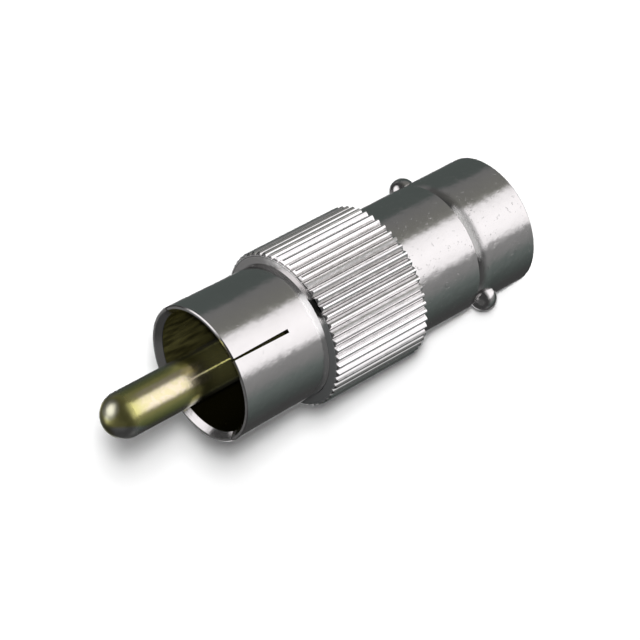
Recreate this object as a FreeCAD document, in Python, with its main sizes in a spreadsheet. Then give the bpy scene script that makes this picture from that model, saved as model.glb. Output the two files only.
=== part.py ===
import FreeCAD, Part
import math
import os
import re
import Sketcher

# BNC to RCA adapter, in millimetres.
# The axis is +Z. The origin is the centre of the bayonet barrel's end face, on which the adapter
# stands, and the plug's pin points up. The two bayonet lugs lie on the X axis.

SIZES = [
    ("barrel_radius", 4.8, "outside of the bayonet barrel and of the neck behind it"),
    ("barrel_wall", 0.75, "wall of the barrel, round the bore that takes the mating plug's fingers"),
    ("barrel_bore_depth", 8.4, "depth of that bore from the end face"),
    ("barrel_edge_bevel", 0.15, "bevel round the outside of the end face"),
    ("barrel_mouth_bevel", 0.25, "lead-in bevel round the bore's mouth"),
    ("web_thickness", 1.6, "inner web that the insulator stops against"),
    ("web_bore_radius", 3.3, "hole in the web"),
    ("relief_back", 5.4, "height of the relief groove's edge on the neck's side"),
    ("relief_width", 1.3, "length of the relief groove along the axis"),
    ("relief_depth", 0.22, "depth of the relief groove"),
    ("relief_sweep_radius", 2.8, "radius of the sweep that leads down into the groove"),
    ("relief_edge_length", 0.14, "length along the axis of the groove's steep side, at the neck"),
    ("lug_radius", 0.95, "radius of a bayonet lug and of its domed end"),
    ("lug_height", 4.35, "height of the lugs' centres above the end face"),
    ("lug_tip_reach", 5.7, "distance of a lug's tip from the axis"),
    ("lug_setback", 0.07, "how far a lug's inner end stands back from the bore"),
    ("collar_start", 11.1, "height of the collar's sharp edge, where the neck ends"),
    ("collar_length", 8.1, "length of the knurled collar"),
    ("collar_radius", 5.65, "radius over the knurl's ridges"),
    ("collar_bevel", 0.2, "bevel of the ridge ends at the collar's plug-side face"),
    ("knurl_count", 56, "number of straight ridges"),
    ("knurl_depth", 0.27, "depth of a valley"),
    ("knurl_land", 0.11, "width of the flat land on each ridge"),
    ("knurl_shoulder_drop", 0.09, "how far a ridge's shoulder drops from the land to the flank"),
    ("knurl_shoulder_half", 0.14, "half the width of a valley where its flanks start"),
    ("knurl_floor_half", 0.01, "half the width of a valley's floor"),
    ("core_bore_radius", 4.2, "bore inside the collar, which holds the insulators"),
    ("shell_seat_depth", 3.2, "depth of the counterbore that the shell is pressed into"),
    ("shell_radius", 4.84, "outside of the plug shell where it leaves the collar"),
    ("shell_mouth_radius", 4.92, "outside of the plug shell at its flared mouth"),
    ("shell_wall", 0.56, "wall of the slotted part of the shell"),
    ("shell_length", 7.15, "length of the shell beyond the collar"),
    ("shell_floor_rise", 2.9, "height of the shell's inner floor above its seat"),
    ("shell_lip_radius", 3.65, "hole in the shell's floor"),
    ("shell_edge_bevel", 0.07, "bevel round the outside of the shell's rim"),
    ("shell_mouth_bevel", 0.33, "width of the lead-in bevel inside the rim"),
    ("shell_mouth_bevel_depth", 0.4, "depth of that bevel along the axis"),
    ("slot_count", 4, "number of slots in the shell"),
    ("slot_width", 0.27, "width of a slot at its closed end"),
    ("slot_mouth_width", 0.15, "width of a slot at the rim, to which it narrows"),
    ("slot_length", 4.7, "length of a slot from the rim"),
    ("slot_turn", -18.7, "angle from the lugs' axis to the nearest slot, in degrees"),
    ("pin_radius", 1.6, "radius of the plug's pin and of its round nose"),
    ("pin_reach", 7.85, "length of the pin beyond the shell's rim"),
    ("pin_seat_radius", 1.8, "the contact's thicker part, which sits in the insulator"),
    ("flange_radius", 2.6, "radius of the contact's flange"),
    ("flange_thickness", 1.0, "thickness of the contact's flange"),
    ("socket_radius", 1.08, "outside of the contact's socket"),
    ("socket_bore_radius", 0.68, "bore of the contact's socket"),
    ("socket_bore_depth", 5.2, "depth of the socket's bore"),
    ("socket_height", 2.3, "height of the socket's mouth above the end face"),
    ("socket_edge_bevel", 0.12, "bevel round the outside of the socket's mouth"),
    ("tine_count", 4, "number of spring tines, and of the slots between them"),
    ("tine_slot_width", 0.22, "width of a slot between two tines"),
    ("tine_length", 3.4, "length of the tines"),
    ("insulator_nose_radius", 2.35, "outside of the insulator's nose in the barrel"),
    ("insulator_nose_height", 2.0, "height of the nose's face above the end face"),
    ("insulator_nose_bevel", 0.2, "bevels round the nose's face"),
    ("insulator_base", 2.0, "thickness of the insulator's base behind the web"),
    ("fit_gap", 0.02, "radial clearance between pieces that fit in one another"),
    ("cut_margin", 0.5, "how far a cut starts outside the piece"),
]

# Radii, heights and widths that follow from the sizes.
BARREL_BORE = "(barrel_radius - barrel_wall)"
WEB_BACK = "(barrel_bore_depth + web_thickness)"
COLLAR_FACE = "(collar_start + collar_length)"
SHELL_SEAT = f"({COLLAR_FACE} - shell_seat_depth)"
SHELL_FLOOR = f"({SHELL_SEAT} + shell_floor_rise)"
SHELL_RIM = f"({COLLAR_FACE} + shell_length)"
SLOT_END = f"({SHELL_RIM} - slot_length)"
PIN_TIP = f"({SHELL_RIM} + pin_reach)"
KNURL_MOUTH_HALF = "(pi * collar_radius / knurl_count - knurl_land / 2)"
FLANGE_FOOT = f"({WEB_BACK} + insulator_base)"
FLANGE_TOP = f"({FLANGE_FOOT} + flange_thickness)"

# The sketcher's own numbers for an edge's ends, and for the axes that cross at the origin.
START_POINT, END_POINT = (1, 2)
ORIGIN_AXES, UPRIGHT_AXIS = (-1, -2)

document = FreeCAD.newDocument("Adapter")


def make_sheet():
    """The spreadsheet that holds the driving sizes."""
    sheet = document.addObject("Spreadsheet::Sheet", "Sizes")
    for row, (name, value, meaning) in enumerate(SIZES, start=1):
        sheet.set(f"A{row}", name)
        sheet.set(f"B{row}", str(value))
        sheet.set(f"C{row}", meaning)
        sheet.setAlias(f"B{row}", name)
    document.recompute()
    return sheet


sheet = make_sheet()
aliases = {name for name, value, meaning in SIZES}


def bound(expression):
    """An expression in size names, written with the sheet's name before each of them."""
    return re.sub("[a-z_]+", lambda word: "Sizes." + word[0] if word[0] in aliases else word[0], expression)


def value_of(expression):
    """The present value of an expression in size names."""
    return float(sheet.evalExpression(bound(expression)))


def make_body(label):
    """An empty body whose label names its file."""
    body = document.addObject("PartDesign::Body", label)
    body.Label = label
    return body


def origin_feature(body, role):
    """One of the body's own origin planes or axes."""
    return [feature for feature in body.Origin.OriginFeatures if feature.Role == role][0]


def add_sketch(body, name, plane):
    """A sketch on one of the body's own origin planes."""
    sketch = body.newObject("Sketcher::SketchObject", name)
    sketch.AttachmentSupport = [(origin_feature(body, plane), "")]
    sketch.MapMode = "FlatFace"
    return sketch


def arc_between(start, end, radius, centre_side):
    """The shorter arc between two points. The centre is to the left for 1 and to the right for -1."""
    chord = end - start
    half = chord.Length / 2
    left = FreeCAD.Vector(-chord.y, chord.x, 0).normalize()
    height = math.sqrt(max(radius * radius - half * half, 0))
    centre = (start + end) / 2 + left * (height * centre_side)
    first, last = (start, end) if centre_side > 0 else (end, start)
    first_angle = math.atan2(first.y - centre.y, first.x - centre.x)
    last_angle = math.atan2(last.y - centre.y, last.x - centre.x)
    circle = Part.Circle(centre, FreeCAD.Vector(0, 0, 1), radius)
    return Part.ArcOfCircle(circle, first_angle, last_angle)


def bind_distance(sketch, direction, edge, point, expression):
    """Ties one coordinate of a corner to an expression, measured from the sketch's origin."""
    if expression == "0":
        axis = UPRIGHT_AXIS if direction == "DistanceX" else ORIGIN_AXES
        sketch.addConstraint(Sketcher.Constraint("PointOnObject", edge, point, axis))
        return
    value = value_of(expression)
    if value < 0:
        ends = (edge, point, ORIGIN_AXES, START_POINT)
        expression = f"-({expression})"
    else:
        ends = (ORIGIN_AXES, START_POINT, edge, point)
    index = sketch.addConstraint(Sketcher.Constraint(direction, *ends, abs(value)))
    sketch.setExpression(f"Constraints[{index}]", bound(expression))


def draw_outline(sketch, corners):
    """A closed outline whose every corner and arc is bound to the sheet.

    A corner is (across, up), or (across, up, radius, centre side) where the edge that leaves it is
    an arc. All but the centre side are expressions in size names.
    """
    points = [FreeCAD.Vector(value_of(corner[0]), value_of(corner[1]), 0) for corner in corners]
    starts = []
    ends = []
    for number, corner in enumerate(corners):
        start = points[number]
        end = points[(number + 1) % len(corners)]
        if len(corner) == 2:
            edge = sketch.addGeometry(Part.LineSegment(start, end), False)
            starts.append((edge, START_POINT))
            ends.append((edge, END_POINT))
            continue
        radius, centre_side = corner[2:]
        edge = sketch.addGeometry(arc_between(start, end, value_of(radius), centre_side), False)
        starts.append((edge, START_POINT if centre_side > 0 else END_POINT))
        ends.append((edge, END_POINT if centre_side > 0 else START_POINT))
        index = sketch.addConstraint(Sketcher.Constraint("Radius", edge, value_of(radius)))
        sketch.setExpression(f"Constraints[{index}]", bound(radius))
    for number, corner in enumerate(corners):
        sketch.addConstraint(Sketcher.Constraint("Coincident", *ends[number - 1], *starts[number]))
        bind_distance(sketch, "DistanceX", *starts[number], corner[0])
        bind_distance(sketch, "DistanceY", *starts[number], corner[1])


def turn(body, name, corners, kind="PartDesign::Revolution"):
    """A turned form: an outline of (radius, height) corners, revolved about the body's Z axis."""
    sketch = add_sketch(body, name + "_outline", "XZ_Plane")
    draw_outline(sketch, corners)
    before = volume_of(body)
    feature = body.newObject(kind, name)
    feature.Profile = sketch
    feature.ReferenceAxis = (sketch, ["V_Axis"])
    feature.Angle = 360
    document.recompute()
    if kind == "PartDesign::Groove":
        require_less(body, before)
    return feature


def cut_through(body, name, sketch, side="One side", reverse=False):
    """A pocket that cuts all the way through, from the sketch's plane."""
    before = volume_of(body)
    pocket = body.newObject("PartDesign::Pocket", name)
    pocket.Profile = sketch
    pocket.Type = "ThroughAll"
    pocket.SideType = side
    pocket.Reversed = reverse
    document.recompute()
    require_less(body, before)
    return pocket


def repeat_around(body, name, feature, count):
    """Copies of a cut at equal angles about the Z axis, their number bound to the sheet."""
    before = volume_of(body)
    pattern = body.newObject("PartDesign::PolarPattern", name)
    pattern.Originals = [feature]
    pattern.Axis = (origin_feature(body, "Z_Axis"), [""])
    pattern.Angle = 360
    pattern.setExpression("Occurrences", bound(count))
    body.Tip = pattern
    document.recompute()
    require_less(body, before)


def volume_of(body):
    """Volume of the body so far."""
    return body.Shape.Volume if body.Tip else 0.0


def require_less(body, before):
    """A cut that removes nothing is an error."""
    if body.Shape.Volume >= before:
        raise RuntimeError(body.Label + ": the last cut removes nothing")


def make_adapter_body():
    """The turned body: bayonet barrel, neck and collar outside, stepped bores inside."""
    body = make_body("adapter_body")
    shell_seat_radius = "shell_radius + fit_gap"
    turn(body, "turned_body", [
        (f"{BARREL_BORE} + barrel_mouth_bevel", "0"),
        ("barrel_radius - barrel_edge_bevel", "0"),
        ("barrel_radius", "barrel_edge_bevel"),
        ("barrel_radius", "collar_start"),
        ("collar_radius", "collar_start"),
        ("collar_radius", f"{COLLAR_FACE} - collar_bevel"),
        ("collar_radius - collar_bevel", COLLAR_FACE),
        (shell_seat_radius, COLLAR_FACE),
        (shell_seat_radius, SHELL_SEAT),
        ("core_bore_radius", SHELL_SEAT),
        ("core_bore_radius", WEB_BACK),
        ("web_bore_radius", WEB_BACK),
        ("web_bore_radius", "barrel_bore_depth"),
        (BARREL_BORE, "barrel_bore_depth"),
        (BARREL_BORE, "barrel_mouth_bevel"),
    ])
    turn(body, "relief_groove", [
        ("barrel_radius", "relief_back - relief_width", "relief_sweep_radius", 1),
        ("barrel_radius - relief_depth", "relief_back - relief_edge_length"),
        ("barrel_radius", "relief_back"),
        ("barrel_radius + cut_margin", "relief_back"),
        ("barrel_radius + cut_margin", "relief_back - relief_width"),
    ], "PartDesign::Groove")
    cut_lug_holes(body)
    cut_knurl(body)
    return body


def cut_lug_holes(body):
    """One drilling right across the barrel makes the holes for both lugs."""
    sketch = add_sketch(body, "lug_hole_circle", "YZ_Plane")
    radius = "lug_radius + fit_gap"
    centre = FreeCAD.Vector(0, value_of("lug_height"), 0)
    circle = sketch.addGeometry(Part.Circle(centre, FreeCAD.Vector(0, 0, 1), value_of(radius)), False)
    centre_point = 3
    bind_distance(sketch, "DistanceX", circle, centre_point, "0")
    bind_distance(sketch, "DistanceY", circle, centre_point, "lug_height")
    index = sketch.addConstraint(Sketcher.Constraint("Radius", circle, value_of(radius)))
    sketch.setExpression(f"Constraints[{index}]", bound(radius))
    cut_through(body, "lug_holes", sketch, side="Symmetric")


def cut_knurl(body):
    """Straight knurl: one valley between two flat-topped ridges, repeated round the collar."""
    sketch = add_sketch(body, "knurl_valley_outline", "XY_Plane")
    root = "collar_radius - knurl_depth"
    flank_top = "collar_radius - knurl_shoulder_drop"
    outside = "collar_radius + cut_margin"
    draw_outline(sketch, [
        ("collar_radius", f"-{KNURL_MOUTH_HALF}"),
        (flank_top, "-knurl_shoulder_half"),
        (root, "-knurl_floor_half"),
        (root, "knurl_floor_half"),
        (flank_top, "knurl_shoulder_half"),
        ("collar_radius", KNURL_MOUTH_HALF),
        (outside, KNURL_MOUTH_HALF),
        (outside, f"-{KNURL_MOUTH_HALF}"),
    ])
    valley = cut_through(body, "knurl_valley", sketch, reverse=True)
    repeat_around(body, "knurl", valley, "knurl_count")


def make_lug(label, side):
    """A domed lug pressed into the barrel's wall: side is 1 for +X and -1 for -X."""
    body = make_body(label)
    inner_end = f"({BARREL_BORE} + lug_setback)"
    length = f"(lug_tip_reach - {inner_end})"
    turn(body, "turned_lug", [
        ("0", "0"),
        ("lug_radius", "0"),
        ("lug_radius", f"{length} - lug_radius", "lug_radius", 1),
        ("0", length),
    ])
    body.Placement.Rotation = FreeCAD.Rotation(FreeCAD.Vector(0, 1, 0), side * 90)
    body.setExpression(".Placement.Base.x", bound(f"{side} * {inner_end}"))
    body.setExpression(".Placement.Base.z", bound("lug_height"))
    return body


def make_plug_shell():
    """The slotted shell of the plug, pressed into the collar over the insulator's shoulder."""
    body = make_body("plug_shell")
    turn(body, "turned_shell", [
        ("shell_lip_radius", SHELL_SEAT),
        ("shell_radius", SHELL_SEAT),
        ("shell_radius", SLOT_END),
        ("shell_mouth_radius", f"{SHELL_RIM} - shell_edge_bevel"),
        ("shell_mouth_radius - shell_edge_bevel", SHELL_RIM),
        ("shell_mouth_radius - shell_wall + shell_mouth_bevel", SHELL_RIM),
        ("shell_mouth_radius - shell_wall", f"{SHELL_RIM} - shell_mouth_bevel_depth"),
        ("shell_radius - shell_wall", SLOT_END),
        ("shell_radius - shell_wall", SHELL_FLOOR),
        ("shell_lip_radius", SHELL_FLOOR),
    ])
    sketch = add_sketch(body, "slot_outline", "YZ_Plane")
    half_width = "slot_width / 2"
    half_mouth = "slot_mouth_width / 2"
    draw_outline(sketch, [
        (f"-{half_width}", SLOT_END),
        (half_width, SLOT_END),
        (half_mouth, SHELL_RIM),
        (half_mouth, f"{SHELL_RIM} + cut_margin"),
        (f"-{half_mouth}", f"{SHELL_RIM} + cut_margin"),
        (f"-{half_mouth}", SHELL_RIM),
    ])
    slot = cut_through(body, "slot", sketch)
    repeat_around(body, "slots", slot, "slot_count")
    body.setExpression(".Placement.Rotation.Angle", bound("slot_turn"))
    return body


def make_centre_contact():
    """The contact: round-nosed pin at the plug's end, slotted socket at the barrel's end."""
    body = make_body("centre_contact")
    turn(body, "turned_contact", [
        ("socket_bore_radius", "socket_height"),
        ("socket_radius - socket_edge_bevel", "socket_height"),
        ("socket_radius", "socket_height + socket_edge_bevel"),
        ("socket_radius", FLANGE_FOOT),
        ("flange_radius", FLANGE_FOOT),
        ("flange_radius", FLANGE_TOP),
        ("pin_seat_radius", FLANGE_TOP),
        ("pin_seat_radius", SHELL_FLOOR),
        ("pin_radius", SHELL_FLOOR),
        ("pin_radius", f"{PIN_TIP} - pin_radius", "pin_radius", 1),
        ("0", PIN_TIP),
        ("0", "socket_height + socket_bore_depth"),
        ("socket_bore_radius", "socket_height + socket_bore_depth"),
    ])
    sketch = add_sketch(body, "tine_slot_outline", "YZ_Plane")
    half_width = "tine_slot_width / 2"
    draw_outline(sketch, [
        (f"-{half_width}", "socket_height - cut_margin"),
        (half_width, "socket_height - cut_margin"),
        (half_width, "socket_height + tine_length"),
        (f"-{half_width}", "socket_height + tine_length"),
    ])
    slot = cut_through(body, "tine_slot", sketch)
    repeat_around(body, "tine_slots", slot, "tine_count")
    return body


def make_jack_insulator():
    """The insulator of the barrel: a nose round the socket and a base behind the web."""
    body = make_body("jack_insulator")
    hole = "socket_radius + fit_gap"
    turn(body, "turned_jack_insulator", [
        (f"{hole} + insulator_nose_bevel", "insulator_nose_height"),
        ("insulator_nose_radius - insulator_nose_bevel", "insulator_nose_height"),
        ("insulator_nose_radius", "insulator_nose_height + insulator_nose_bevel"),
        ("insulator_nose_radius", "barrel_bore_depth"),
        ("web_bore_radius - fit_gap", "barrel_bore_depth"),
        ("web_bore_radius - fit_gap", WEB_BACK),
        ("core_bore_radius - fit_gap", WEB_BACK),
        ("core_bore_radius - fit_gap", FLANGE_FOOT),
        (hole, FLANGE_FOOT),
        (hole, "insulator_nose_height + insulator_nose_bevel"),
    ])
    return body


def make_plug_insulator():
    """The insulator of the plug: it holds the flange down and is held by the shell's tail."""
    body = make_body("plug_insulator")
    turn(body, "turned_plug_insulator", [
        ("flange_radius + fit_gap", FLANGE_FOOT),
        ("core_bore_radius - fit_gap", FLANGE_FOOT),
        ("core_bore_radius - fit_gap", SHELL_SEAT),
        ("shell_lip_radius - fit_gap", SHELL_SEAT),
        ("shell_lip_radius - fit_gap", SHELL_FLOOR),
        ("pin_seat_radius + fit_gap", SHELL_FLOOR),
        ("pin_seat_radius + fit_gap", FLANGE_TOP),
        ("flange_radius + fit_gap", FLANGE_TOP),
    ])
    return body


def export(bodies):
    """Checks every object of the document, then writes one file for each piece."""
    document.recompute()
    for item in document.Objects:
        if "Invalid" in item.State or "Error" in item.State:
            raise RuntimeError(item.Label + " is not valid")
    for body in bodies:
        if body.Shape.isNull() or not body.Shape.isValid():
            raise RuntimeError(body.Label + " has no valid shape")
    os.makedirs("parts", exist_ok=True)
    for body in bodies:
        body.Shape.exportStep(f"parts/{body.Label}.step")


export([
    make_adapter_body(),
    make_lug("bayonet_lug_right", 1),
    make_lug("bayonet_lug_left", -1),
    make_plug_shell(),
    make_centre_contact(),
    make_jack_insulator(),
    make_plug_insulator(),
])
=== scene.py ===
import bpy
import bmesh
import math
from mathutils import Matrix, Vector


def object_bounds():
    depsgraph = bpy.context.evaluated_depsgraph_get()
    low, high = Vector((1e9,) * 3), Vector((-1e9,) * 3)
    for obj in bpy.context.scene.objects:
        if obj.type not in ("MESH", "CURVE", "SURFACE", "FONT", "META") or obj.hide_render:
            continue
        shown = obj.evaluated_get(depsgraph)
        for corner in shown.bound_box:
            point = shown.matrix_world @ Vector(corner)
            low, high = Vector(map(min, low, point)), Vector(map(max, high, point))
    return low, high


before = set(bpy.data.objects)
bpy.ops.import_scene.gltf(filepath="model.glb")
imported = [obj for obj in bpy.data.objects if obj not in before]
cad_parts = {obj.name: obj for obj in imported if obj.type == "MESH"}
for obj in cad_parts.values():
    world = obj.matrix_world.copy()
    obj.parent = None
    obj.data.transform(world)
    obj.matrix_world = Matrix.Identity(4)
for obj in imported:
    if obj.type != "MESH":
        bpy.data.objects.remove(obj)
cad_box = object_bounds()

# Places are in metres, as in the frame. The adapter's sizes and its finishes are in millimetres.
MILLIMETRE = 0.001

# Sizes of the adapter that its finishes follow. Heights are above the barrel's end face.
GROOVE_EDGE = 5.4
COLLAR_START = 11.1
COLLAR_FACE = 19.2
VALLEY_RADIUS = 5.38
SHELL_RADIUS = 4.84
SHELL_RIM = 26.35
MOUTH_BEVEL_START = 25.95
PIN_RADIUS = 1.6
NOSE_HEIGHT = cad_box[1].z / MILLIMETRE - PIN_RADIUS

# Relief of the turned rings, and how steeply the collar's face falls away outwards.
RING_DEPTH = 0.0015
FACE_RING_DEPTH = 0.012
FACE_SLOPE = 0.27

# The photograph's camera: angles in degrees, the lens in millimetres on a sensor 36 mm wide, and the
# centre of the barrel's end face seen from it, in millimetres to the right, downwards and ahead.
CAMERA_AZIMUTH = 254.4
CAMERA_ELEVATION = 31.6315
CAMERA_ROLL = 61.7299
CAMERA_LENS = 151.0916
BARREL_END_SEEN = (11.8252, -7.0648, 190.073)

# Level directions: to the side that the photograph shows, and across it, to the picture's lower side.
TOWARDS = Vector((math.cos(math.radians(CAMERA_AZIMUTH)), math.sin(math.radians(CAMERA_AZIMUTH)), 0))
ACROSS = Vector((TOWARDS.y, -TOWARDS.x, 0))
UP = Vector((0, 0, 1))

# Colours of the plating, of what lies on it, and of the light and shade painted on it.
CLOUDY_NICKEL = (0.69, 0.675, 0.67, 1)
CLEAR_NICKEL = (0.75, 0.735, 0.73, 1)
BURNISHED_NICKEL = (0.94, 0.925, 0.925, 1)
# Painted light and shade on the body: one side of the knurl, its valleys (with dirt), the groove, the
# shell's foot and the collar's face.
SHADED_KNURL_NICKEL = (0.46, 0.46, 0.45, 1)
BLACK_DIRT_AND_SHADE = (0.015, 0.015, 0.013, 1)
GROOVE_PAINTED_GREY = (0.48, 0.47, 0.465, 1)
FOOT_PAINTED_HIGHLIGHT = (0.66, 0.645, 0.65, 1)
FACE_PAINTED_SHADE = (0.105, 0.108, 0.108, 1)
# Inside the shell: near black painted shade, olive tarnish with painted light, and painted light on the
# slot walls.
DARK_TARNISH_AND_SHADE = (0.025, 0.022, 0.005, 1)
OLIVE_TARNISH_AND_LIGHT = (0.6, 0.56, 0.2, 1)
SLOT_PAINTED_LIGHT = (0.42, 0.39, 0.14, 1)
OLIVE_GOLD = (0.66, 0.63, 0.24, 1)
# Gold: a painted highlight, a painted nose highlight, painted shade on the flanks, a grey painted
# reflection on the nose and painted shade behind the tip.
HIGHLIGHT_GOLD = (0.84, 0.745, 0.55, 1)
NOSE_HIGHLIGHT_GOLD = (0.82, 0.81, 0.62, 1)
SHADED_FLANK_GOLD = (0.47, 0.46, 0.36, 1)
NOSE_PAINTED_GREY = (0.66, 0.66, 0.64, 1)
SHADED_TIP_GOLD = (0.3, 0.29, 0.14, 1)

# Colours of the insulators' plastics, each with its paler grain.
DARK_PLASTIC = (0.012, 0.012, 0.012, 1)
PALER_DARK_PLASTIC = (0.03, 0.03, 0.03, 1)
WHITE_PLASTIC = (0.78, 0.77, 0.73, 1)
PALER_WHITE_PLASTIC = (0.86, 0.85, 0.81, 1)

# Casts of the greys that the metal reflects.
PLAIN = (1, 1, 1)
OLIVE = (0.9, 1.05, 1.0)
WARM = (1.02, 1.02, 0.93)
WHITE = (1.0, 0.98, 0.995)


def grey(level, cast=PLAIN):
    """A grey of a level, with a slight cast."""
    return tuple(level * part for part in cast) + (1,)


def heading(azimuth, elevation):
    """A direction, in degrees round from the side that the photograph shows, and above the horizon."""
    turn = math.radians(azimuth)
    rise = math.radians(elevation)
    level = TOWARDS * math.cos(turn) + ACROSS * math.sin(turn)
    return level * math.cos(rise) + UP * math.sin(rise)


def give(tree, socket, value):
    """Sets a socket to a value, or links it where the value is a socket itself."""
    if isinstance(value, bpy.types.NodeSocket):
        tree.links.new(value, socket)
    else:
        socket.default_value = value


def put(tree, kind, inputs=(), **settings):
    """A node with its settings and its inputs."""
    node = tree.nodes.new(kind)
    for name, value in settings.items():
        setattr(node, name, value)
    for key, value in dict(inputs).items():
        give(tree, node.inputs[key], value)
    return node


def sums(tree, operation, *values):
    """A sum on one to three values."""
    return put(tree, "ShaderNodeMath", enumerate(values), operation=operation).outputs[0]


def product(tree, *values):
    """All the values multiplied together."""
    result, *others = values
    for value in others:
        result = sums(tree, "MULTIPLY", result, value)
    return result


def fade(tree, value, low, high, start=0.0, end=1.0):
    """A smooth change from start to end while the value goes from low to high."""
    inputs = {"Value": value, "From Min": low, "From Max": high, "To Min": start, "To Max": end}
    return put(tree, "ShaderNodeMapRange", inputs, interpolation_type="SMOOTHSTEP").outputs["Result"]


def between(tree, value, low, high, soft):
    """A mask of the stretch where the value lies between two limits, with soft ends outside them."""
    return product(tree, fade(tree, value, low - soft, low), fade(tree, value, high, high + soft, 1.0, 0.0))


def blend(tree, share, first, second):
    """One colour going over into another."""
    node = put(tree, "ShaderNodeMix", data_type="RGBA")
    factor, first_colour, second_colour = node.inputs[0], node.inputs[6], node.inputs[7]
    give(tree, factor, share)
    give(tree, first_colour, first)
    give(tree, second_colour, second)
    return node.outputs[2]


def reach(tree, place, direction):
    """How far a place lies in a direction."""
    node = put(tree, "ShaderNodeVectorMath", {0: place, 1: direction}, operation="DOT_PRODUCT")
    return node.outputs["Value"]


def noise(tree, place, scale, detail, roughness=0.5, distortion=0.0):
    """A noise pattern's values over the surface."""
    inputs = {"Vector": place, "Scale": scale, "Detail": detail,
              "Roughness": roughness, "Distortion": distortion}
    return put(tree, "ShaderNodeTexNoise", inputs).outputs["Fac"]


def place_camera():
    """The photograph's view, with its lens and its roll. Gives back where the camera stands."""
    roll = math.radians(CAMERA_ROLL)
    ahead = -heading(0, CAMERA_ELEVATION)
    upright = heading(180, 90 - CAMERA_ELEVATION)
    right = ACROSS * math.cos(roll) - upright * math.sin(roll)
    down = ACROSS * math.sin(roll) + upright * math.cos(roll)
    seen_right, seen_down, seen_ahead = BARREL_END_SEEN
    place = -(right * seen_right + down * seen_down + ahead * seen_ahead) * MILLIMETRE
    turned = Matrix((right, -down, -ahead)).transposed().to_4x4()
    camera = bpy.data.objects.new("camera", bpy.data.cameras.new("camera"))
    bpy.context.collection.objects.link(camera)
    camera.data.sensor_width = 36
    camera.data.lens = CAMERA_LENS
    camera.data.clip_start = 0.01
    camera.data.clip_end = 20
    camera.matrix_world = Matrix.Translation(place) @ turned
    bpy.context.scene.camera = camera
    return place


def light_studio():
    """What the metal reflects, as one world of directions. It gives no light to matte surfaces."""
    world = bpy.data.worlds.new("studio")
    bpy.context.scene.world = world
    world.use_nodes = True
    world.cycles.sampling_method = "NONE"
    world.cycles_visibility.diffuse = False
    tree = world.node_tree
    tree.nodes.clear()
    way = put(tree, "ShaderNodeTexCoord").outputs["Generated"]
    turn = sums(tree, "ARCTAN2", reach(tree, way, ACROSS), reach(tree, way, TOWARDS))
    share_of_turn = sums(tree, "MULTIPLY_ADD", turn, 0.5 / math.pi, 0.5)
    height = reach(tree, way, UP)

    def walls(stops):
        """Walls all round, whose grey changes from one azimuth to the next."""
        node = put(tree, "ShaderNodeValToRGB", {"Fac": share_of_turn})
        elements = node.color_ramp.elements
        elements.remove(elements[-1])
        for number, (azimuth, colour) in enumerate(stops):
            position = azimuth / 360 + 0.5
            stop = elements.new(position) if number else elements[0]
            stop.position = position
            stop.color = colour
        return node.outputs["Color"]

    def rising(low, high):
        """A mask that comes in from one elevation to another."""
        return fade(tree, height, math.sin(math.radians(low)), math.sin(math.radians(high)))

    def patch(azimuth, elevation, inner, outer):
        """A round patch, full as far as its inner angle and gone at its outer one."""
        nearness = reach(tree, way, heading(azimuth, elevation))
        return fade(tree, nearness, math.cos(math.radians(outer)), math.cos(math.radians(inner)))

    low_walls = walls([
        (-180, grey(0.4)), (-170, grey(0.4)), (-162, grey(0.07, OLIVE)), (-89, grey(0.076, OLIVE)),
        (-81, grey(0.14)), (-43, grey(0.15, WARM)), (-36, grey(0.2, WARM)), (-29, grey(0.78, WHITE)),
        (-16, grey(0.93, WHITE)), (2, grey(1.0, WHITE)), (20, grey(0.97, WHITE)), (33, grey(0.85, WHITE)),
        (42, grey(0.22)), (60, grey(0.19)), (79, grey(0.12, OLIVE)), (98, grey(0.08, OLIVE)),
        (112, grey(0.057, OLIVE)), (130, grey(0.045)), (162, grey(0.038)), (170, grey(0.4)),
        (180, grey(0.4)),
    ])
    high_walls = walls([
        (-180, grey(0.7)), (-160, grey(0.7)), (-152, grey(0.08)), (-125, grey(0.08)), (-118, grey(0.13)),
        (-104, grey(0.13)), (-97, grey(0.07)), (-42, grey(0.07, WARM)), (-30, grey(0.32)),
        (30, grey(0.32)), (44, grey(0.08)), (97, grey(0.05)), (104, grey(0.13)), (118, grey(0.13)),
        (125, grey(0.06)), (152, grey(0.06)), (160, grey(0.7)), (180, grey(0.7)),
    ])
    around = blend(tree, rising(-24.83, -8.63), low_walls, high_walls)
    around = blend(tree, rising(-6.89, 3.44), around, grey(0.04))
    around = blend(tree, rising(64.16, 75.93), around, grey(0.2))
    around = blend(tree, patch(-89, 47, inner=14, outer=30), around, grey(0.95, WHITE))
    around = blend(tree, patch(-162, 28, inner=10, outer=22), around, grey(0.15))
    around = blend(tree, patch(-160, 57, inner=2, outer=18), around, grey(0.85))
    around = blend(tree, patch(70, 57, inner=20, outer=38), around, grey(0.075))
    background = put(tree, "ShaderNodeBackground", {"Color": around, "Strength": 1.36})
    output = put(tree, "ShaderNodeOutputWorld")
    tree.links.new(background.outputs[0], output.inputs["Surface"])


def new_lamp(name, kind, power):
    """A lamp that is left out of the metal's reflections."""
    lamp = bpy.data.objects.new(name, bpy.data.lights.new(name, kind))
    bpy.context.collection.objects.link(lamp)
    lamp.data.energy = power
    lamp.visible_glossy = False
    return lamp


def far_lamp(name, azimuth, elevation, breadth, power):
    """A soft lamp far away, as broad as an angle in degrees."""
    lamp = new_lamp(name, "SUN", power)
    lamp.data.angle = math.radians(breadth)
    lamp.matrix_world = heading(azimuth, elevation).to_track_quat("Z", "Y").to_matrix().to_4x4()


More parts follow.
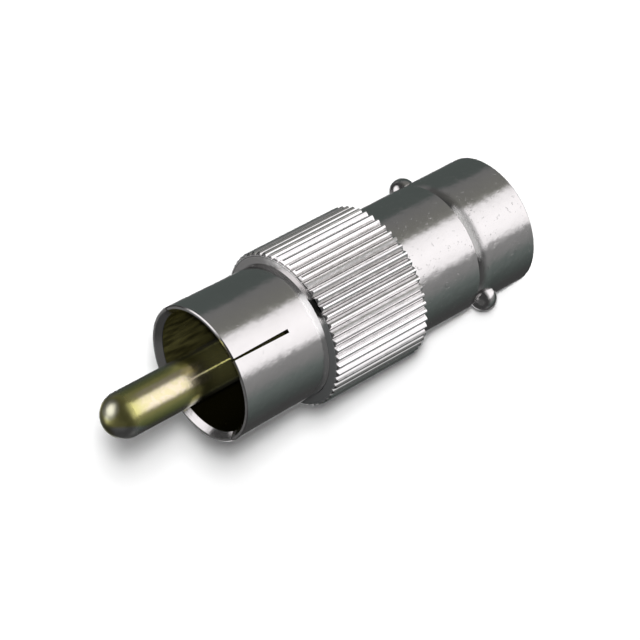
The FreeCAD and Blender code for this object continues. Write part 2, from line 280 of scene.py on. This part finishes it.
def front_lamp(name, camera_place, sideways, lower, radius, power):
    """A soft lamp, some millimetres beside the camera and below it.

    Its light grows with distance as much as the floor's slant weakens it, so the near floor and the
    far floor are equally bright.
    """
    lamp = new_lamp(name, "POINT", power)
    lamp.data.shadow_soft_size = radius * MILLIMETRE
    lamp.data.use_nodes = True
    tree = lamp.data.node_tree
    falloff = put(tree, "ShaderNodeLightFalloff", {"Strength": 1.0})
    distance = put(tree, "ShaderNodeLightPath").outputs["Ray Length"]
    strength = product(tree, falloff.outputs["Constant"], distance)
    tree.links.new(strength, tree.nodes["Emission"].inputs["Strength"])
    upright = heading(180, 90 - CAMERA_ELEVATION)
    lamp.location = camera_place - (ACROSS * sideways + upright * lower) * MILLIMETRE


def make_paint(name, level, glow=0.0):
    """Matte paint for the studio."""
    material = bpy.data.materials.new(name)
    material.use_nodes = True
    shader = material.node_tree.nodes["Principled BSDF"]
    shader.inputs["Base Color"].default_value = grey(level)
    shader.inputs["Roughness"].default_value = 0.9
    shader.inputs["Specular IOR Level"].default_value = 0.0
    shader.inputs["Emission Color"].default_value = grey(1.0)
    shader.inputs["Emission Strength"].default_value = glow
    return material


def make_backdrop(name, shape, paint):
    """A painted object of the studio, left out of the metal's reflections."""
    mesh = bpy.data.meshes.new(name)
    shape.to_mesh(mesh)
    shape.free()
    mesh.materials.append(paint)
    thing = bpy.data.objects.new(name, mesh)
    bpy.context.collection.objects.link(thing)
    thing.visible_glossy = False
    return thing


def lay_floor():
    """A plain pale floor, three metres round the adapter."""
    disc = bmesh.new()
    bmesh.ops.create_circle(disc, cap_ends=True, segments=96, radius=3.0)
    floor = make_backdrop("floor", disc, make_paint("floor_paint", 0.97))


def raise_wall():
    """A white wall round the floor, which only the camera sees."""
    ring = bmesh.new()
    bmesh.ops.create_cone(ring, cap_ends=False, segments=96, radius1=2.9, radius2=2.9, depth=4.0)
    wall = make_backdrop("wall", ring, make_paint("wall_paint", 0.0, glow=1.0))
    wall.visible_diffuse = False
    wall.visible_shadow = False
    wall.visible_transmission = False


SOCKET_KINDS = {"Place": "NodeSocketVector", "Colour": "NodeSocketColor"}


def new_group(name, inputs, outputs):
    """A node group: its tree, the values that it is given and the sockets that it fills."""
    tree = bpy.data.node_groups.new(name, "ShaderNodeTree")
    for titles, way in ((inputs, "INPUT"), (outputs, "OUTPUT")):
        for title in titles:
            kind = SOCKET_KINDS.get(title, "NodeSocketFloat")
            tree.interface.new_socket(title, in_out=way, socket_type=kind)
    return tree, tree.nodes.new("NodeGroupInput").outputs, tree.nodes.new("NodeGroupOutput").inputs


def use(tree, group, inputs):
    """Places a node group in a tree with its own values, and gives back what it puts out."""
    return put(tree, "ShaderNodeGroup", inputs, node_tree=group).outputs


def make_round_and_height():
    """Splits a place in millimetres into its distance from the adapter's axis and its height."""
    tree, given, result = new_group("round_and_height", ["Place"], ["Radius", "Height"])
    parts = put(tree, "ShaderNodeSeparateXYZ", {0: given["Place"]}).outputs
    squares = [product(tree, parts[axis], parts[axis]) for axis in ("X", "Y")]
    give(tree, result["Radius"], sums(tree, "SQRT", sums(tree, "ADD", *squares)))
    give(tree, result["Height"], parts["Z"])
    return tree


def make_turning_marks():
    """Fine rings left by the lathe, the same all the way round."""
    tree, given, result = new_group("turning_marks", ["Radius", "Height", "Fineness"], ["Marks"])
    line = put(tree, "ShaderNodeCombineXYZ", {0: given["Radius"], 1: given["Height"]}).outputs[0]
    give(tree, result["Marks"], noise(tree, line, given["Fineness"], 3.0, roughness=0.7))
    return tree


def make_plate_skin():
    """The slight unevenness of plated metal, its dents, a few small nicks and its cloudy patches."""
    tree, given, result = new_group("plate_skin", ["Place"], ["Ripple", "Dents", "Nicks", "Cloud"])
    place = given["Place"]
    nicks = noise(tree, place, 2.6, 3.0, roughness=0.6, distortion=1.0)
    give(tree, result["Ripple"], noise(tree, place, 2.2, 4.0, roughness=0.55))
    give(tree, result["Dents"], noise(tree, place, 1.3, 1.0))
    give(tree, result["Nicks"], fade(tree, nicks, 0.64, 0.7))
    give(tree, result["Cloud"], noise(tree, place, 0.6, 2.0))
    return tree


def make_nickel_plate(plate_skin):
    """Clean satin nickel. Its dents and nicks are deeper on the barrel than past the collar's start."""
    tree, given, result = new_group("nickel_plate", ["Place", "Height"],
                                    ["Colour", "Roughness", "Relief", "Ripple"])
    skin = use(tree, plate_skin, {"Place": given["Place"]})
    past_barrel = COLLAR_START - 0.1
    dent_depth = fade(tree, given["Height"], past_barrel, COLLAR_FACE + 0.3, 0.02, 0.015)
    nick_height = fade(tree, given["Height"], past_barrel, COLLAR_START + 0.2, -0.007, -0.002)
    relief = sums(tree, "MULTIPLY", skin["Ripple"], 0.009)
    relief = sums(tree, "MULTIPLY_ADD", skin["Dents"], dent_depth, relief)
    relief = sums(tree, "MULTIPLY_ADD", skin["Nicks"], nick_height, relief)
    give(tree, result["Colour"], blend(tree, skin["Cloud"], CLOUDY_NICKEL, CLEAR_NICKEL))
    give(tree, result["Roughness"], sums(tree, "MULTIPLY_ADD", skin["Ripple"], 0.12, 0.09))
    give(tree, result["Relief"], relief)
    give(tree, result["Ripple"], skin["Ripple"])
    return tree


def make_painted_light_band():
    """Painted light on a stretch of the axis, full on the side towards the camera and least elsewhere."""
    limits = ["Start", "Full Start", "Full End", "End", "Side Start", "Side Full", "Least"]
    tree, given, result = new_group("painted_light_band", ["Place", "Height"] + limits, ["Dust"])
    side = reach(tree, given["Place"], heading(1, 0))
    give(tree, result["Dust"], product(
        tree,
        fade(tree, given["Height"], given["Start"], given["Full Start"]),
        fade(tree, given["Height"], given["Full End"], given["End"], 1.0, 0.0),
        fade(tree, side, given["Side Start"], given["Side Full"], given["Least"], 1.0),
    ))
    return tree


def make_moulded_grain():
    """The fine grain of moulded plastic."""
    tree, given, result = new_group("moulded_grain", ["Place"], ["Grain"])
    give(tree, result["Grain"], noise(tree, given["Place"], 6.0, 4.0))
    return tree


ROUND_AND_HEIGHT = make_round_and_height()
TURNING_MARKS = make_turning_marks()
PLATE_SKIN = make_plate_skin()
NICKEL_PLATE = make_nickel_plate(PLATE_SKIN)
PAINTED_LIGHT_BAND = make_painted_light_band()
MOULDED_GRAIN = make_moulded_grain()


class Coat:
    """A material in the making, to which layers are added.

    What makes it sets its first colour, roughness and relief.
    """

    def __init__(self, name, metal):
        self.material = bpy.data.materials.new(name)
        self.material.use_nodes = True
        self.tree = self.material.node_tree
        metres = put(self.tree, "ShaderNodeTexCoord").outputs["Object"]
        self.place = put(self.tree, "ShaderNodeVectorMath", {0: metres, "Scale": 1 / MILLIMETRE},
                         operation="SCALE").outputs["Vector"]
        self.metal = metal

    def cover(self, mask, colour, rougher=0.0, duller=0.0):
        """Lays a colour over the coat within the mask, and makes it rougher or less metallic there."""
        self.colour = blend(self.tree, mask, self.colour, colour)
        if rougher:
            self.roughness = sums(self.tree, "MULTIPLY_ADD", mask, rougher, self.roughness)
        if duller:
            self.metal = sums(self.tree, "MULTIPLY_ADD", mask, -duller, self.metal)

    def emboss(self, pattern, depth):
        """Raises the relief by a pattern, by so many millimetres where the pattern is 1."""
        self.relief = sums(self.tree, "MULTIPLY_ADD", pattern, depth, self.relief)

    def done(self):
        """Leads the coat's values to the shader, and gives back the material."""
        shader = self.tree.nodes["Principled BSDF"].inputs
        bump = put(self.tree, "ShaderNodeBump",
                   {"Height": self.relief, "Strength": 1.0, "Distance": MILLIMETRE})
        give(self.tree, shader["Base Color"], self.colour)
        give(self.tree, shader["Roughness"], self.roughness)
        give(self.tree, shader["Metallic"], self.metal)
        give(self.tree, shader["Normal"], bump.outputs["Normal"])
        return self.material


def turned_coat(name):
    """A metal coat for a turned piece, which also has each place's radius and height."""
    coat = Coat(name, metal=1.0)
    polar = use(coat.tree, ROUND_AND_HEIGHT, {"Place": coat.place})
    coat.radius, coat.height = polar["Radius"], polar["Height"]
    return coat


def clean_nickel(name):
    """A nickel coat with nothing on it yet."""
    coat = turned_coat(name)
    plate = use(coat.tree, NICKEL_PLATE, {"Place": coat.place, "Height": coat.height})
    coat.colour, coat.roughness, coat.relief = plate["Colour"], plate["Roughness"], plate["Relief"]
    coat.ripple = plate["Ripple"]
    return coat


def turn_rings(coat, depth):
    """Turned rings over a coat."""
    inputs = {"Radius": coat.radius, "Height": coat.height, "Fineness": 9.0}
    coat.emboss(use(coat.tree, TURNING_MARKS, inputs)["Marks"], depth)


def painted_light_band(coat, start, full_start, full_end, end, side_start=0.0, side_full=1.0, least=1.0):
    """A band of painted light over a coat, the same all the way round unless its sides are given."""
    return use(coat.tree, PAINTED_LIGHT_BAND, {
        "Place": coat.place, "Height": coat.height,
        "Start": start, "Full Start": full_start, "Full End": full_end, "End": end,
        "Side Start": side_start, "Side Full": side_full, "Least": least,
    })["Dust"]


def past_neck(coat):
    """All that lies beyond the barrel and the neck."""
    return fade(coat.tree, coat.height, COLLAR_START - 0.1, COLLAR_START)


def knurl_ridges(coat):
    """The tops and the flanks of the knurl's ridges."""
    above_floor = fade(coat.tree, coat.radius, VALLEY_RADIUS - 0.08, VALLEY_RADIUS - 0.02)
    return product(coat.tree, past_neck(coat), above_floor)


def valley_floors(coat):
    """The bottoms of the knurl's valleys."""
    floor = between(coat.tree, coat.radius, VALLEY_RADIUS - 0.02, VALLEY_RADIUS + 0.005, 0.01)
    return product(coat.tree, past_neck(coat), floor)


def collar_face(coat):
    """The collar's flat face towards the plug, outside the shell."""
    level = between(coat.tree, coat.height, COLLAR_FACE - 0.05, COLLAR_FACE + 0.05, 0.04)
    return product(coat.tree, level, fade(coat.tree, coat.radius, SHELL_RADIUS - 0.14, SHELL_RADIUS - 0.04))


def face_smear(coat, face):
    """A short smear with ragged ends on the collar's face."""
    tree = coat.tree
    along_face = sums(tree, "MULTIPLY_ADD", coat.ripple, 1.5, reach(tree, coat.place, heading(87, 0)))
    outwards = fade(tree, reach(tree, coat.place, heading(-3, 0)), 1, 2)
    return product(tree, face, between(tree, along_face, 0.4, 1.1, 0.6), outwards)


def face_painted_shade(coat, face):
    """The lower half of the collar's face, where a dark grey is painted as shade."""
    lower_half = fade(coat.tree, reach(coat.tree, coat.place, ACROSS), 0.5, 1.1)
    return product(coat.tree, face, lower_half)


def groove_painted_light(coat):
    """Grey painted light on the steep side of the relief groove all round, and deep in the groove on one
    side.
    """
    edge = GROOVE_EDGE
    steep = painted_light_band(coat, edge - 0.16, edge - 0.13, edge - 0.02, edge + 0.01)
    deep = painted_light_band(coat, edge - 0.65, edge - 0.25, edge - 0.02, edge + 0.01,
                     side_start=4.1, side_full=4.5, least=0.0)
    return sums(coat.tree, "MAXIMUM", steep, deep)


def foot_painted_highlight(coat):
    """A pale painted highlight round the foot of the shell, thickest on one side."""
    face = COLLAR_FACE
    return painted_light_band(coat, face - 0.2, face - 0.1, face + 0.3, face + 0.6,
                     side_start=4.5, side_full=4.76, least=0.08)


def shell_inside(coat):
    """The inside of the plug's shell and the walls of its slots, as far as the bevel of its mouth."""
    bevel = MOUTH_BEVEL_START
    return product(coat.tree,
                   fade(coat.tree, coat.radius, SHELL_RADIUS - 0.08, SHELL_RADIUS - 0.04, 1.0, 0.0),
                   fade(coat.tree, coat.height, bevel - 0.07, bevel - 0.01, 1.0, 0.0))


def slot_walls(coat):
    """The walls of the shell's slots, more towards the rim."""
    return product(coat.tree,
                   fade(coat.tree, coat.radius, SHELL_RADIUS - 0.44, SHELL_RADIUS - 0.34),
                   fade(coat.tree, coat.height, SHELL_RIM - 3.85, SHELL_RIM - 1.35))


def inner_tarnish_light_and_shade(coat):
    """The inside of the shell: near black as painted shade, and olive in streaks on one side towards the
    rim as tarnish and painted light.
    """
    tree = coat.tree
    stretched = put(tree, "ShaderNodeVectorMath", {0: coat.place, 1: (3.0, 3.0, 0.5)}, operation="MULTIPLY")
    streaks = noise(tree, stretched.outputs["Vector"], 1.0, 4.0)
    olive = product(tree,
                    fade(tree, reach(tree, coat.place, ACROSS), -3.5, 0.5, 1.0, 0.0),
                    fade(tree, coat.height, COLLAR_FACE - 0.7, SHELL_RIM - 1.35),
                    fade(tree, streaks, 0.35, 0.65, 0.25, 1.0))
    return blend(tree, olive, DARK_TARNISH_AND_SHADE, OLIVE_TARNISH_AND_LIGHT)


def make_lug_nickel():
    """Clean nickel with turned rings, for the bayonet lugs."""
    coat = clean_nickel("lug_nickel")
    turn_rings(coat, RING_DEPTH)
    return coat.done()


def make_body_nickel():
    """The adapter body's nickel.

    The knurl is burnished and, on one side, darker with painted shade. Black lies in its valleys, as dirt
    and painted shade, and is smeared on the collar's face, whose lower half has dark painted shade as well.
    Grey painted light lies in the relief groove. The face is turned in deeper rings and falls away
    outwards.
    """
    coat = clean_nickel("body_nickel")
    tree = coat.tree
    face = collar_face(coat)
    # Painted shade: the knurl's ridges are darker on one side.
    painted_shade_side = fade(tree, reach(tree, coat.place, heading(78, 0)), 4.7, 5.6)
    # Black in the knurl's valley floors is dirt and painted shade; the smear on the collar's face is black
    # too.
    dirt_and_shade = sums(tree, "MAXIMUM", valley_floors(coat), face_smear(coat, face))
    coat.cover(knurl_ridges(coat), blend(tree, painted_shade_side, BURNISHED_NICKEL, SHADED_KNURL_NICKEL), rougher=0.06)
    coat.cover(dirt_and_shade, BLACK_DIRT_AND_SHADE, rougher=0.3)
    # Grey painted light in the relief groove.
    coat.cover(groove_painted_light(coat), GROOVE_PAINTED_GREY, duller=0.5)
    # Dark grey painted shade on the lower half of the collar's face, which is duller and rougher there too.
    coat.cover(face_painted_shade(coat, face), FACE_PAINTED_SHADE, rougher=0.25, duller=0.6)
    coat.emboss(product(tree, coat.radius, face), -FACE_SLOPE)
    turn_rings(coat, sums(tree, "MULTIPLY_ADD", face, FACE_RING_DEPTH, RING_DEPTH))
    return coat.done()


def make_shell_nickel():
    """The plug shell's nickel: painted shade inside with olive tarnish and painted light on one side,
    painted light in the slots, and a painted highlight round its foot.
    """
    coat = clean_nickel("shell_nickel")
    inside = shell_inside(coat)
    # Painted shade inside the shell, with olive tarnish and painted light on one side.
    coat.cover(inside, inner_tarnish_light_and_shade(coat), rougher=0.1, duller=0.07)
    # Painted light on the slot walls, more towards the rim.
    coat.cover(product(coat.tree, inside, slot_walls(coat)), SLOT_PAINTED_LIGHT, duller=0.2)
    # Painted highlight round the shell's foot.
    coat.cover(foot_painted_highlight(coat), FOOT_PAINTED_HIGHLIGHT, duller=0.85)
    turn_rings(coat, RING_DEPTH)
    return coat.done()


def make_gold():
    """Olive gold plate on the contact.

    It has a pale painted highlight along the side towards the camera and a bright one on a spot of the
    nose, painted shade on its flanks, a grey painted reflection on one side of the nose and painted shade
    behind the tip.
    """
    coat = turned_coat("pale_gold")
    tree, place, height = coat.tree, coat.place, coat.height
    skin = use(tree, PLATE_SKIN, {"Place": place})
    from_nose_centre = {0: place, 1: (0, 0, NOSE_HEIGHT)}
    nose = put(tree, "ShaderNodeVectorMath", from_nose_centre, operation="SUBTRACT").outputs["Vector"]
    coat.colour = OLIVE_GOLD
    coat.roughness = sums(tree, "ADD", fade(tree, height, SHELL_RIM - 0.35, SHELL_RIM + 1.65, 0.08, 0.16),
                          fade(tree, height, NOSE_HEIGHT - 0.2, NOSE_HEIGHT + 0.3, 0.0, 0.09))
    coat.roughness = sums(tree, "MULTIPLY_ADD", skin["Ripple"], 0.12, coat.roughness)
    coat.metal = fade(tree, height, SHELL_RIM - 0.85, SHELL_RIM + 1.65, 0.965, 1.0)
    coat.relief = sums(tree, "MULTIPLY", skin["Ripple"], 0.012)
    coat.emboss(skin["Dents"], 0.006)
    # Painted highlight along the side towards the camera.
    painted_highlight_side = product(tree,
                          fade(tree, reach(tree, place, heading(-4, 0)), 1.34, 1.5),
                          fade(tree, height, NOSE_HEIGHT - 1.4, NOSE_HEIGHT + 0.2, 1.0, 0.0),
                          fade(tree, skin["Ripple"], 0.38, 0.56, 0.7, 1.0),
                          fade(tree, height, SHELL_RIM - 0.35, SHELL_RIM + 1.25))
    # Painted shade on the pin's flanks.
    flanks = fade(tree, sums(tree, "ABSOLUTE", reach(tree, place, ACROSS)), 1.15, 1.56)
    # Grey painted reflection on one side of the nose.
    side_of_nose = product(tree,
                           fade(tree, reach(tree, nose, heading(102, 23)), 0.68, 0.98),
                           fade(tree, height, NOSE_HEIGHT - 2.0, NOSE_HEIGHT))
    coat.cover(painted_highlight_side, HIGHLIGHT_GOLD)
    # Painted highlight on a spot of the nose.
    coat.cover(fade(tree, reach(tree, nose, heading(-44, 47)), 1.36, 1.53), NOSE_HIGHLIGHT_GOLD)
    coat.cover(flanks, SHADED_FLANK_GOLD)
    coat.cover(side_of_nose, NOSE_PAINTED_GREY)
    # Painted shade behind the tip.
    coat.cover(fade(tree, reach(tree, nose, heading(180, 60)), 0.9, 1.4), SHADED_TIP_GOLD)
    return coat.done()


def make_plastic(name, dark, light, roughness):
    """Moulded plastic with a fine grain."""
    coat = Coat(name, metal=0.0)
    grain = use(coat.tree, MOULDED_GRAIN, {"Place": coat.place})["Grain"]
    coat.colour = blend(coat.tree, grain, dark, light)
    coat.roughness = fade(coat.tree, grain, 0.3, 0.7, roughness - 0.08, roughness + 0.08)
    coat.relief = sums(coat.tree, "MULTIPLY", grain, 0.004)
    return coat.done()


def dress(materials):
    """Gives each named piece its material."""
    for name, material in materials.items():
        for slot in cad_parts[name].material_slots:
            slot.material = material


camera_place = place_camera()
light_studio()
front_lamp("key_lamp", camera_place, sideways=2.8, lower=1.3, radius=3.0, power=168.0)
front_lamp("side_lamp", camera_place, sideways=7.2, lower=3.6, radius=4.5, power=156.0)
front_lamp("wide_lamp", camera_place, sideways=24.0, lower=10.0, radius=14.0, power=42.0)
far_lamp("dome_lamp", azimuth=-70, elevation=58, breadth=80, power=0.5)
lay_floor()
raise_wall()
lug_nickel = make_lug_nickel()
dress({
    "adapter_body": make_body_nickel(),
    "bayonet_lug_right": lug_nickel,
    "bayonet_lug_left": lug_nickel,
    "plug_shell": make_shell_nickel(),
    "centre_contact": make_gold(),
    "plug_insulator": make_plastic("black_plastic", DARK_PLASTIC, PALER_DARK_PLASTIC, roughness=0.5),
    "jack_insulator": make_plastic("white_plastic", WHITE_PLASTIC, PALER_WHITE_PLASTIC, roughness=0.4),
})
bpy.context.scene.view_settings.view_transform = "Standard"
